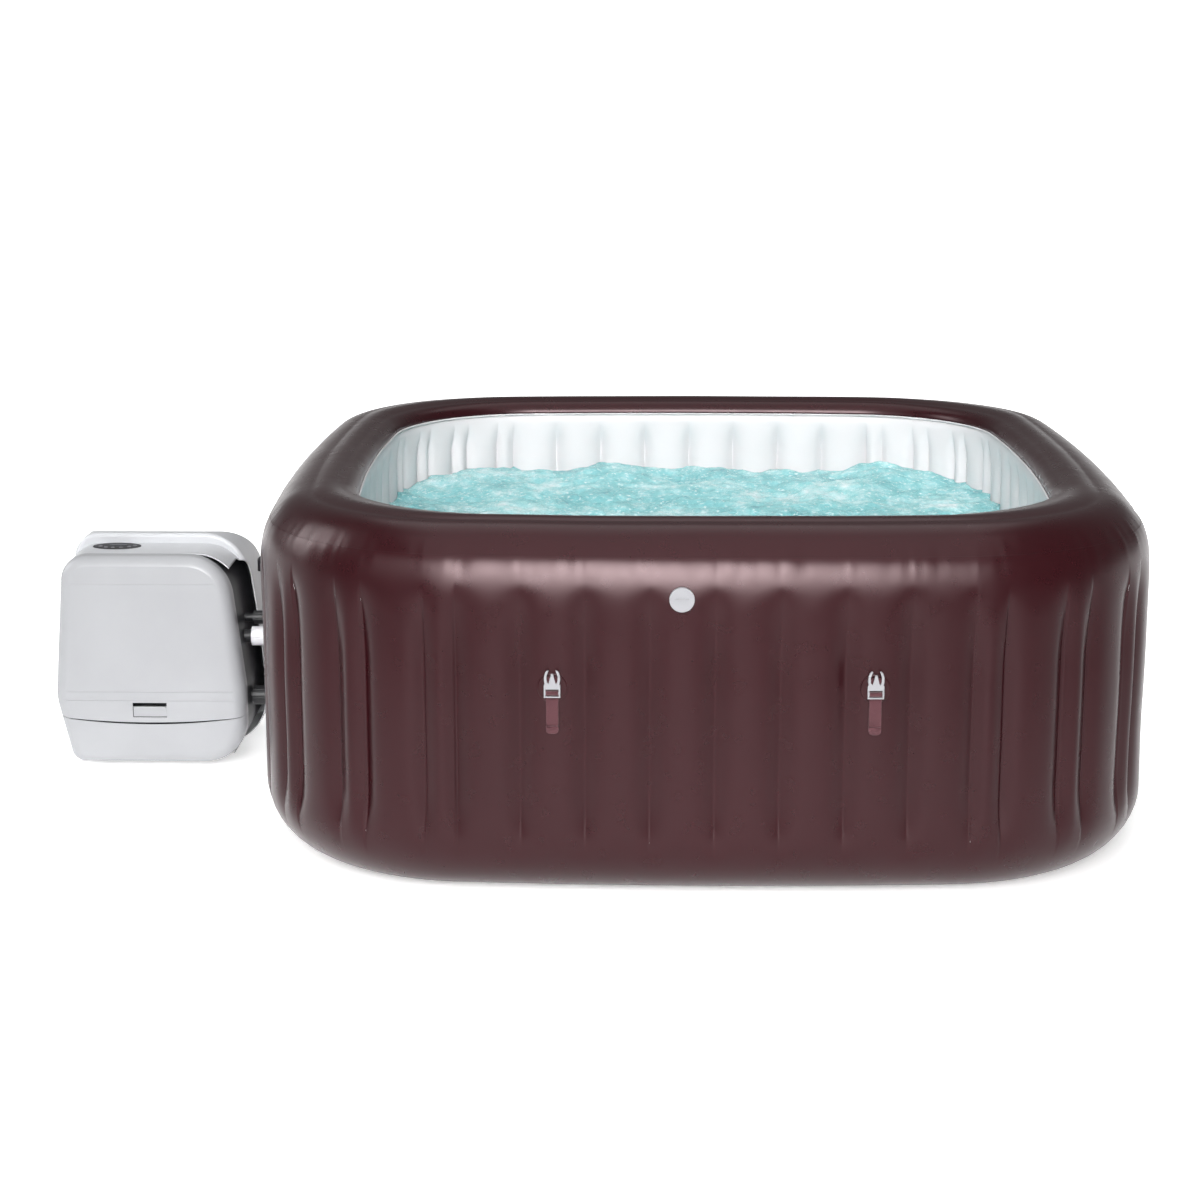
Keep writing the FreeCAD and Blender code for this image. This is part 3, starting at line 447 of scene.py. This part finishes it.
MAROON = (0.0180, 0.0015, 0.0029)
MATERIALS = {
    "maroon_pvc": pvc("maroon_pvc", MAROON, 0.28, (1.0, 0.78, 0.80)),
    "white_pvc": pvc("white_pvc", (0.585, 0.56, 0.57), 0.42, variation=0.03),
    "web_fabric": woven("web_fabric", (0.75, 0.75, 0.76)),
    "webbing": woven("webbing", (0.075, 0.013, 0.020)),
    "white_plastic": plastic("white_plastic", (0.80, 0.80, 0.83), 0.32),
    "grey_plastic": plastic("grey_plastic", (0.46, 0.48, 0.52), 0.45),
    "black_plastic": plastic("black_plastic", (0.012, 0.012, 0.014), 0.38),
    "seal_rubber": plastic("seal_rubber", (0.02, 0.02, 0.02), 0.75, 300.0, 0.3),
    "filter_paper": woven("filter_paper", (0.70, 0.74, 0.80), 300.0),
    "shell_plastic": plastic("shell_plastic", (0.345, 0.35, 0.365), 0.36),
    "arch_plastic": plastic("arch_plastic", (0.51, 0.52, 0.54), 0.34),
    "dark_plastic": plastic("dark_plastic", (0.023, 0.024, 0.028), 0.42, 420.0, 0.3,
                            specular=0.35),
    "panel_plastic": plastic("panel_plastic", (0.010, 0.010, 0.012), 0.3, specular=0.03),
    "lens": plastic("lens", (0.02, 0.025, 0.03), 0.2, specular=0.05),
    "button_plastic": plastic("button_plastic", (0.17, 0.17, 0.18), 0.4),
    "buckle_plastic": plastic("buckle_plastic", (0.27, 0.27, 0.285), 0.3),
    "steel": metal("steel", (0.60, 0.61, 0.62), 0.25),
    "board": circuit("board"),
}
WATER = whirling_water("water")


def dress_cad_nodes():
    """Put the material of each CAD node's slot on it."""
    for part in record["subparts"]:
        piece = frame["nodes"][part["node"]]
        for slot in piece.material_slots:
            slot.link = "OBJECT"
            slot.material = MATERIALS[part["material_slot"]]


# ------------------------------------------------------------------ inflated skins

def ring_surface(rows, outer_side):
    """Vertices of rows that each hold (inset from the outline, height)."""
    points, normals = (OUTER_POINT, OUTER_NORMAL) if outer_side else (INNER_POINT, INNER_NORMAL)
    vertices = []
    for inset, z in rows:
        if outer_side:
            inset = inset + outer_inset(PANEL_PLACE, OUTER_WIDTH, z)
            place = points - normals * inset[:, None]
        else:
            inset = inset + inner_inset(PANEL_PLACE, INNER_WIDTH, z)
            place = points + normals * inset[:, None]
        vertices.append(np.column_stack([place, np.full(len(place), z)]))
    return np.concatenate(vertices)


def outward(normals, rows):
    """Level direction for small displacements, from an outline's normals, for every row."""
    return np.tile(np.column_stack([normals, np.zeros(len(normals))]), (len(rows), 1))


def seam_pucker(vertices, runs, seam_z, reach, depth):
    """Fine gathers that run away from a welded seam and fade out."""
    near = np.exp(-((vertices[:, 2] - seam_z) / reach) ** 2)
    fine = np.array([noise.noise(Vector((run * 46, z * 6, 3.0)))
                     for run, z in zip(runs, vertices[:, 2])])
    return near * fine * depth


def outer_unevenness(vertices, runs):
    """Shallow waves and seam gathers, shared by the outer wall and the edge welded to it."""
    waves = ripple(vertices, 5.0, 0.0022) * smooth(vertices[:, 2], 0.0, 0.12)
    return seam_pucker(vertices, runs, OUTER_SEAM_Z, 0.035, 0.0016) + waves - WALL_INSET


def outer_rows():
    """Outer wall from its flat underside, round the base roll and up to the top seam."""
    rows = [(0.30 * (1 - t) + BASE_ROLL * t, 0.0) for t in np.linspace(0, 1, 5)[:-1]]
    for step in range(12):
        angle = math.pi / 2 * step / 12
        rows.append((BASE_ROLL * (1 - math.sin(angle)), BASE_ROLL * (1 - math.cos(angle))))
    rows += [(0.0, z) for z in np.linspace(BASE_ROLL, 0.600, 20)[:-1]]
    rows += bezier((0.0, 0.600), (0.0, 0.704), (0.026, OUTER_SEAM_Z), 18)
    rows += [(0.0256, OUTER_SEAM_Z - 0.0006), (0.026, OUTER_SEAM_Z)]
    return rows


def make_outer_wall():
    """Outer skin with the underside, one sheet up to the top seam."""
    rows = outer_rows()
    vertices = ring_surface(rows, True)
    runs = np.tile(OUTER_RUN, len(rows))
    vertices += outward(OUTER_NORMAL, rows) * outer_unevenness(vertices, runs)[:, None]
    wall = tub_piece("inflated_outer_wall", vertices, ring_faces(len(rows), len(OUTER_RUN)),
                     "maroon_pvc")
    thicken(wall, SKIN)
    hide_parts("outer_wall", "base_ring")


def top_rows():
    """Top ring from the outer seam over the crown to the inner seam, as (blend, inset, z)."""
    crown_z = TUB_HEIGHT - 0.005
    rows = [(0.0, 0.025, OUTER_SEAM_Z - 0.0018)]
    rows += [(0.0, inset, z) for inset, z in
             bezier((0.0262, OUTER_SEAM_Z - 0.0004), (0.066, crown_z), (TOP_ROLL, crown_z), 18)]
    for step in range(12):
        t = step / 12
        rows.append((t, TOP_ROLL, crown_z + 0.006 * math.sin(math.pi * t)))
    for step in range(9):
        angle = math.pi / 2 * step / 8
        rows.append((1.0, WELL_ROLL * (1 - math.sin(angle)),
                     INNER_SEAM_Z + (crown_z - INNER_SEAM_Z) * math.cos(angle)))
    return rows


def make_top_ring():
    """Top skin of the ring; its outer edge moves with the wall it is welded to."""
    rows = top_rows()
    vertices = []
    for blend, inset, z in rows:
        outer = OUTER_POINT - OUTER_NORMAL * (inset if blend == 0 else TOP_ROLL)
        inner = INNER_POINT + INNER_NORMAL * (inset if blend == 1 else WELL_ROLL)
        place = outer * (1 - blend) + inner * blend
        vertices.append(np.column_stack([place, np.full(len(place), z)]))
    vertices = np.concatenate(vertices)
    runs = np.tile(OUTER_RUN, len(rows))
    edge = 1 - smooth(vertices[:, 2], 0.75, 0.785)
    edge[np.repeat([blend > 0 for blend, _, _ in rows], len(OUTER_RUN))] = 0
    move = outer_unevenness(vertices, runs) * edge
    vertices[:, 2] += ripple(vertices, 4.0, 0.0013, 5.0) * smooth(vertices[:, 2], 0.765, 0.79)
    vertices += outward(OUTER_NORMAL, rows) * move[:, None]
    ring = tub_piece("inflated_top_ring", vertices, ring_faces(len(rows), len(OUTER_RUN)),
                     "maroon_pvc")
    thicken(ring, SKIN)
    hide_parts("top_ring")


def make_inner_wall():
    """White well wall with its own creases."""
    heights = np.concatenate([np.linspace(0.004, 0.60, 16)[:-1], np.linspace(0.60, 0.7625, 20)])
    rows = [(0.0005 + 0.004 * float(smooth(z, 0.745, 0.7625)), z) for z in heights]
    vertices = ring_surface(rows, False)
    vertices += outward(INNER_NORMAL, rows) * ripple(vertices, 9.0, 0.0016, 9.0)[:, None]
    wall = tub_piece("inflated_inner_wall", vertices, ring_faces(len(rows), len(INNER_RUN)),
                     "white_pvc")
    wall.data.flip_normals()
    thicken(wall, SKIN)
    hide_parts("inner_wall")


WEB_HEIGHTS = np.linspace(WEB_LOW, WEB_HIGH, 21)

# Where the lines to the pump unit cross the ring: y, z and the clear radius round each.
LINES = ((0.075, 0.309, 0.029), (0.075, 0.156, 0.029), (0.112, 0.348, 0.022))


def crosses_line(place):
    """Whether a point of a web lies in the clear space round a pipe."""
    return place[0] < 0 and any(math.hypot(place[1] - y, place[2] - z) < reach
                                for y, z, reach in LINES)


def make_webs():
    """Tension sheets inside the ring, from each crease of the outer wall to one of the well."""
    vertices, faces = [], []
    columns = 9
    for index in np.argwhere(PANEL_PLACE == 0.0)[:, 0]:
        base = len(vertices)
        for z in WEB_HEIGHTS:
            inset = float(outer_inset(0.0, OUTER_WIDTH[index], z)) + WALL_INSET + SKIN
            outer = OUTER_POINT[index] - OUTER_NORMAL[index] * inset
            inset = float(inner_inset(0.0, INNER_WIDTH[index], z)) + WELL_INSET + SKIN
            inner = INNER_POINT[index] + INNER_NORMAL[index] * inset
            for t in np.linspace(0, 1, columns):
                vertices.append((*(outer * (1 - t) + inner * t), z))
        for face in grid_faces(len(WEB_HEIGHTS), columns):
            corners = [vertices[base + corner] for corner in face]
            if not crosses_line(np.mean(corners, axis=0)):
                faces.append(tuple(base + corner for corner in face))
    webs = tub_piece("tension_webs", vertices, faces, "web_fabric")
    thicken(webs, WEB_SKIN, 0.0)
    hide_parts("wall_webs")


def tube_ring(name, points, radius, slot, across=8):
    """Closed round bead that follows a ring of points."""
    count = len(points)
    vertices = []
    for index in range(count):
        ahead = Vector(points[(index + 1) % count]) - Vector(points[index - 1])
        side = ahead.cross(Vector((0, 0, 1))).normalized()
        for step in range(across):
            angle = 2 * math.pi * step / across
            vertices.append(Vector(points[index]) + side * math.cos(angle) * radius
                            + Vector((0, 0, 1)) * math.sin(angle) * radius)
    faces = []
    for index in range(count):
        following = (index + 1) % count
        for step in range(across):
            after = (step + 1) % across
            faces.append((index * across + step, following * across + step,
                          following * across + after, index * across + after))
    return tub_piece(name, vertices, faces, slot)


def make_seam_bead():
    """Folded weld edge where the top ring meets the well wall."""
    runs = np.arange(0, 4 * INNER_QUARTER, 0.012)
    points, normals = outline(*INNER, runs)
    inner = points - normals * 0.0015
    bead = tube_ring("inner_seam_bead", np.column_stack([inner, np.full(len(runs), INNER_SEAM_Z)]),
                     BEAD_RADIUS, "white_pvc")
    bead.data.flip_normals()


def disc_grid(scales, edge, level):
    """Rings of points from the edge towards the middle, at the heights a function gives."""
    vertices = []
    for scale in scales:
        place = edge * scale
        vertices.append(np.column_stack([place, level(place)]))
    return np.concatenate(vertices)


def make_floor():
    """Quilted floor sheet of the well."""
    runs = np.arange(0, 4 * INNER_QUARTER, 0.03)
    points, _ = outline(WELL_HALF - 0.002, WELL_SIDE_RADIUS, WELL_CORNER_RADIUS, runs)
    scales = np.linspace(1.0, 0.04, 26)

    def level(place):
        """Cushions across the floor that flatten out near its edge."""
        cushion = 0.5 + 0.5 * np.cos(place[:, 0] * 2 * math.pi / 0.2)
        return 0.0025 + 0.004 * cushion * smooth(0.75 - np.abs(place).max(axis=1), 0.0, 0.1)

    vertices = disc_grid(scales, points, level)
    faces = ring_faces(len(scales), len(runs))
    centre = len(vertices)
    vertices = np.vstack([vertices, [0, 0, 0.004]])
    last = (len(scales) - 1) * len(runs)
    faces += fan_faces(last, len(runs), centre)
    floor = tub_piece("well_floor", vertices, faces, "white_pvc")
    thicken(floor, SKIN)
    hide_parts("floor_sheet")


def water_level(place):
    """Choppy surface, with splashes thrown up along the far wall."""
    heights = []
    for x, y in place:
        spot = Vector((x, y, 0.0))
        chop = 0.010 * noise.noise(spot * 7.0) + 0.007 * noise.noise(spot * 19.0)
        chop += 0.004 * noise.noise(spot * 44.0)
        boil = max(0.0, noise.noise(spot * 4.1 + Vector((3.1, 0.4, 0)))) * 0.022
        far = float(smooth(y, 0.35, 0.72))
        splash = far * (0.012 + 0.040 * max(0.0, noise.noise(Vector((x * 5.2, y * 2.0, 7.7)))))
        heights.append(WATER_Z + chop + boil + splash)
    return np.array(heights)


def make_water():
    """Water body that fills the well: a choppy top, sides against the wall and a flat base."""
    runs = np.arange(0, 4 * INNER_QUARTER, 0.011)
    points, normals = outline(*INNER, runs)
    place, width = panel_at(INNER_CREASES, runs)
    edge = points + normals * (inner_inset(place, width, WATER_Z) + 0.0002)[:, None]
    scales = np.concatenate([[1.0, 0.995], np.linspace(0.985, 0.01, 70)])
    top = disc_grid(scales, edge, water_level)
    count = len(runs)
    low = np.column_stack([points * 0.997, np.full(count, WATER_BASE_Z)])
    vertices = np.vstack([low, top, [[0, 0, WATER_Z]], [[0, 0, WATER_BASE_Z]]])
    faces = ring_faces(len(scales) + 1, count)
    last = len(scales) * count
    centre = len(vertices) - 2
    faces += fan_faces(last, count, centre)
    faces += [((i + 1) % count, i, centre + 1) for i in range(count)]
    water = linked_mesh("water", vertices, faces)
    water.data.materials.append(WATER)
    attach(water, "root")


# ------------------------------------------------------------------ cover clips

BUCKLE_X = 0.3305
BUCKLE_SHIFT = 0.0105
PATCH_RADIUS = 0.031
STRAP_WIDTH, HEM_WIDTH = 0.0255, 0.0257
TAIL_END = -0.078
TAIL_ROUNDING = 0.009  # length over which the tail's end narrows
TAIL_OUT = 0.0036
HEM_LIFT = 0.0022

# Wall from 0 to 3 and distance along it of each of the eight clips.
CLIPS = [(side, BUCKLE_X * sign + BUCKLE_SHIFT) for side in range(4) for sign in (-1, 1)]


def wall_out(side, across, z):
    """Distance of the outer wall from the tub's middle plane, on wall 0 to 3."""
    place, width = panel_at(OUTER_CREASES, (side - 1) * OUTER_QUARTER + across)
    bow = across**2 / (2 * SIDE_RADIUS)
    return TUB_HALF - bow - float(outer_inset(place, width, z)) - WALL_INSET


def on_wall(side, across, out, z):
    """Point at a distance out from the tub's middle, turned to wall 0 to 3 from the front."""
    turn = side * math.pi / 2
    cosine, sine = round(math.cos(turn)), round(math.sin(turn))
    return (across * cosine + out * sine, across * sine - out * cosine, z)


def make_patches():
    """Round welded patches that follow the wall under each strap."""
    vertices, faces = [], []
    rings, spokes = (0.0, 0.35, 0.7, 0.88, 0.95, 1.0, 1.0), 40
    rises = (0.0021, 0.0021, 0.0021, 0.0021, 0.0024, 0.0016, 0.0001)
    low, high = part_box("strap_patches")
    centre_z = low.z / 2 + high.z / 2
    for side, middle in CLIPS:
        base = len(vertices)
        for ring, rise in zip(rings, rises):
            for spoke in range(spokes):
                angle = 2 * math.pi * spoke / spokes
                across = middle + PATCH_RADIUS * ring * math.cos(angle)
                z = centre_z + PATCH_RADIUS * ring * math.sin(angle)
                vertices.append(on_wall(side, across, wall_out(side, across, z) + rise, z))
        for face in ring_faces(len(rings), spokes):
            faces.append(tuple(base + index for index in reversed(face)))
    patch = tub_piece("welded_patches", vertices, faces, "maroon_pvc")
    thicken(patch, 0.001)
    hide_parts("strap_patches")


def ribbon(path, width):
    """Strip of webbing along (out, up) points, its lower end rounded off."""
    profile = np.array((-1.0, -0.9, -0.5, 0.0, 0.5, 0.9, 1.0))
    strip = []
    for out, up in path:
        short = max(0.0, TAIL_ROUNDING - (up - TAIL_END)) / TAIL_ROUNDING
        half = width / 2 * (0.35 + 0.65 * math.sqrt(max(0.0, 1 - short**2)))
        strip += [(across, out, up) for across in profile * half]
    return strip, len(profile)


def strap_path():
    """Centre line of the webbing in the buckle's own frame: out of the wall and up, in metres."""
    reach = 0.0158
    path = [(0.0028, up) for up in np.linspace(0.042, 0.0185, 6)]
    path += [(0.0034, 0.0158), (0.006, 0.0141), (0.0095, 0.0138), (0.0125, 0.0137)]
    path += [(0.0148, 0.0128), (reach, 0.0105), (reach, 0.0085), (0.0148, 0.0066)]
    path += [(0.0125, 0.0059), (0.0095, 0.0057), (0.006, 0.0052), (0.0042, 0.0035)]
    path.append((TAIL_OUT, 0.0005))
    falls = [*np.linspace(0.05, 0.88, 10), 0.92, 0.95, 0.975, 0.99, 1.0]
    return path + [(TAIL_OUT + 0.0022 * math.sin(math.pi * t), TAIL_END * t) for t in falls]


def make_straps():
    """Two webbing loops on each wall, each with a folded hem at the end of its tail."""
    vertices, faces = [], []
    base_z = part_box("cover_buckle_front_a")[0].z
    wall = TUB_HALF - BUCKLE_X**2 / (2 * SIDE_RADIUS)
    path = strap_path()
    hem = [(out + HEM_LIFT, up) for out, up in path[-7:]]
    for side, middle in CLIPS:
        for line, width in ((path, STRAP_WIDTH), (hem, HEM_WIDTH)):
            strip, columns = ribbon(line, width)
            base = len(vertices)
            for across, out, up in strip:
                vertices.append(on_wall(side, middle + across, wall + out, base_z + up))
            faces += [tuple(base + index for index in face)
                      for face in grid_faces(len(line), columns)]
    strap = tub_piece("cover_webbing", vertices, faces, "webbing")
    thicken(strap, WEBBING, 0.0)
    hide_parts("cover_straps")


# ------------------------------------------------------------------ view and light

# Name, place, target, width, height, power in watts, spread in degrees, shape.
LIGHTS = (
    ("key_soft_box", (-0.3, -5.97, 2.83), (-0.1, -1.0, 0.72), 2.4, 4.2, 22, 58, "ELLIPSE"),
    ("broad_soft_box", (-0.25, -6.0, 2.84), (-0.1, -1.0, 0.72), 3.8, 4.5, 37, 59, "ELLIPSE"),
    ("wide_soft_box", (-0.1, -6.05, 2.87), (0.0, -1.0, 0.72), 6.0, 5.0, 43, 62, "ELLIPSE"),
    ("left_front_box", (-4.0, -4.4, 2.7), (-0.9, -0.8, 0.6), 2.6, 3.4, 5, 62, "RECTANGLE"),
    ("front_top_box", (0.0, -2.2, 5.0), (0.0, -1.0, 0.7), 5.0, 3.6, 64, 180, "RECTANGLE"),
    ("overhead_soft_box", (0.0, 1.6, 5.0), (0.0, 0.0, 0.0), 4.0, 4.0, 48, 180, "RECTANGLE"),
    ("left_strip", (-4.6, 0.6, 2.4), (-1.0, 0.0, 0.5), 1.8, 3.0, 12, 60, "RECTANGLE"),
)


def make_camera():
    """Camera fitted to the tub's rims, base line and side edges."""
    data = bpy.data.cameras.new("camera")
    data.lens = 72.27
    data.sensor_width = 36.0
    camera = bpy.data.objects.new("camera", data)
    camera.location = (-0.146, -5.758, 1.770)
    pitch, yaw = 0.230, -0.016
    camera.rotation_euler = (math.pi / 2 - pitch, 0.0, -yaw)
    bpy.context.scene.collection.objects.link(camera)
    bpy.context.scene.camera = camera


def area_light(name, place, target, width, height, power, spread, shape):
    """Soft box at a place, turned to its target."""
    data = bpy.data.lights.new(name, "AREA")
    data.spread = math.radians(spread)
    data.shape = shape
    data.size = width
    data.size_y = height
    data.energy = power
    light = bpy.data.objects.new(name, data)
    light.location = place
    direction = Vector(target) - Vector(place)
    light.rotation_euler = direction.to_track_quat("-Z", "Y").to_euler()
    bpy.context.scene.collection.objects.link(light)


def sweep():
    """Pale floor that runs far back and rises in a low slope, so that the view ends on it.

    It glows a little under and behind the tub and far in front, to stay white there too.
    """
    profile = [(-12.0, 0.0), (30.0, 0.0), (38.0, 0.3), (46.0, 1.6), (52.0, 4.5)]
    vertices = [(side, y, z - 0.0015) for y, z in profile for side in (-40.0, 40.0)]
    floor = linked_mesh("studio_floor", vertices, grid_faces(len(profile), 2))
    pale = Shader("studio_floor", 0.9, specular=0.0)
    pale.surface.inputs["Emission Color"].default_value = (1, 1, 1, 1)
    depth = pale.node("ShaderNodeSeparateXYZ", Vector=pale.place).outputs["Y"]
    near = pale.span(depth, 0.0, 1.0, -3.3, -2.3)
    glow = pale.combined("ADD", pale.span(near, 0.0, 0.36), pale.span(depth, 0.0, 0.85, -0.8, 3.5))
    glow = pale.combined("ADD", glow, pale.span(depth, 0.45, 0.0, -9.0, -4.6))
    pale.colour(pale.ramp(near, (0.0, (0.80, 0.80, 0.80)), (1.0, (0.93, 0.93, 0.93))))
    pale.put(pale.surface.inputs["Emission Strength"], glow)
    floor.data.materials.append(pale.material)


def make_studio():
    """Weak white surroundings, soft boxes and the floor."""
    world = bpy.data.worlds.new("studio")
    world.use_nodes = True
    background = world.node_tree.nodes["Background"]
    background.inputs["Color"].default_value = (1.0, 1.0, 1.0, 1.0)
    background.inputs["Strength"].default_value = 0.2
    bpy.context.scene.world = world
    bpy.context.scene.view_settings.view_transform = "Standard"
    for light in LIGHTS:
        area_light(*light)
    sweep()


make_camera()
make_studio()
dress_cad_nodes()
make_outer_wall()
make_top_ring()
make_inner_wall()
make_seam_bead()
make_webs()
make_floor()
make_water()
make_patches()
make_straps()
